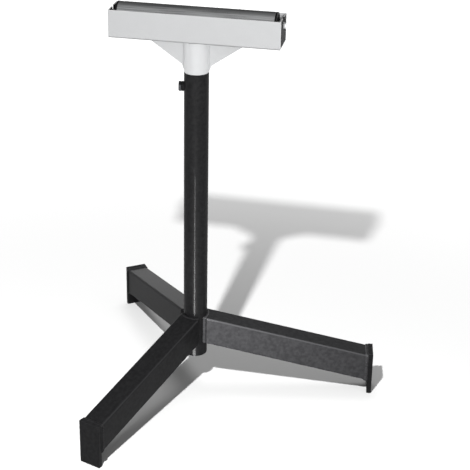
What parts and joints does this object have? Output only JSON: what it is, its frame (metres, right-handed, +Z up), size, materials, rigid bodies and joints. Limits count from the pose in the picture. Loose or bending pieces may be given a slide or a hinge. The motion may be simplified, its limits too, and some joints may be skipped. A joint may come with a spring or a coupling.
{
  "type": "roller stand",
  "caption": "Height-adjustable roller stand: a free-turning roller in a U-channel on a clamped sliding mast, carried by a round post on sloping box-section legs.",
  "frame": {"origin": "middle of the stand's footprint box, on the floor; the post's axis stands at x -0.0717, y 0.0212", "axes": "+Z up along the post; +X along the roller, towards the right-hand end; +Y away from the picture's side"},
  "size_m": [0.6309, 0.7032, 0.8598],
  "materials": {
    "black_paint": "satin powder coat",
    "head_paint": "semi-gloss light grey powder coat",
    "plate_paint": "satin dark paint",
    "roller_steel": "drawn tube, lightly brushed round",
    "bare_steel": "turned or drawn, plain",
    "dark_steel": "black oxide",
    "black_plastic": "moulded, fine matt"
  },
  "bodies": {
    "base": {"post_tube": "black_paint", "leg_right": "black_paint", "leg_back": "black_paint", "leg_front": "black_paint", "foot_plate_right": "black_paint", "foot_plate_back": "black_paint", "foot_plate_front": "black_paint", "clamp_nut": "black_paint"},
    "clamp": {"clamp_screw": "dark_steel"},
    "mast": {"mast_tube": "bare_steel"},
    "head": {"collar_tube": "head_paint", "gusset_left": "head_paint", "gusset_right": "head_paint", "channel": "head_paint", "end_plate_left": "plate_paint", "end_plate_right": "plate_paint", "axle": "bare_steel", "retaining_ring_left": "dark_steel", "retaining_ring_right": "dark_steel", "bearing_inner_race_left": "bare_steel", "bearing_inner_race_right": "bare_steel"},
    "roller": {"roller_tube": "roller_steel", "roller_cap_left": "black_plastic", "roller_cap_right": "black_plastic", "bearing_outer_race_left": "bare_steel", "bearing_outer_race_right": "bare_steel"},
    "cage_left": {"ball_cage_left": "bare_steel"},
    "cage_right": {"ball_cage_right": "bare_steel"}
  },
  "joints": [
    {"name": "clamp_turn", "type": "hinge", "parent": "base", "child": "clamp", "pos_m": [-0.10298, 0.01638, 0.693], "axis": [-0.9885, -0.1513, 0], "range_deg": [0, 720]},
    {"name": "height", "type": "slide", "parent": "base", "child": "mast", "axis": [0, 0, 1], "range_m": [0, 0.45]},
    {"name": "swivel", "type": "hinge", "parent": "mast", "child": "head", "pos_m": [-0.07175, 0.02116, 0.76], "axis": [0, 0, 1], "continuous": true},
    {"name": "roller_spin", "type": "hinge", "parent": "head", "child": "roller", "pos_m": [-0.07175, 0.02116, 0.8348], "axis": [1, 0, 0], "continuous": true},
    {"name": "cage_left_spin", "type": "hinge", "parent": "head", "child": "cage_left", "pos_m": [-0.07175, 0.02116, 0.8348], "axis": [1, 0, 0], "continuous": true},
    {"name": "cage_right_spin", "type": "hinge", "parent": "head", "child": "cage_right", "pos_m": [-0.07175, 0.02116, 0.8348], "axis": [1, 0, 0], "continuous": true}
  ],
  "couplings": [
    {"joint": "cage_left_spin", "follows": "roller_spin", "ratio": 0.6107},
    {"joint": "cage_right_spin", "follows": "roller_spin", "ratio": 0.6107}
  ]
}
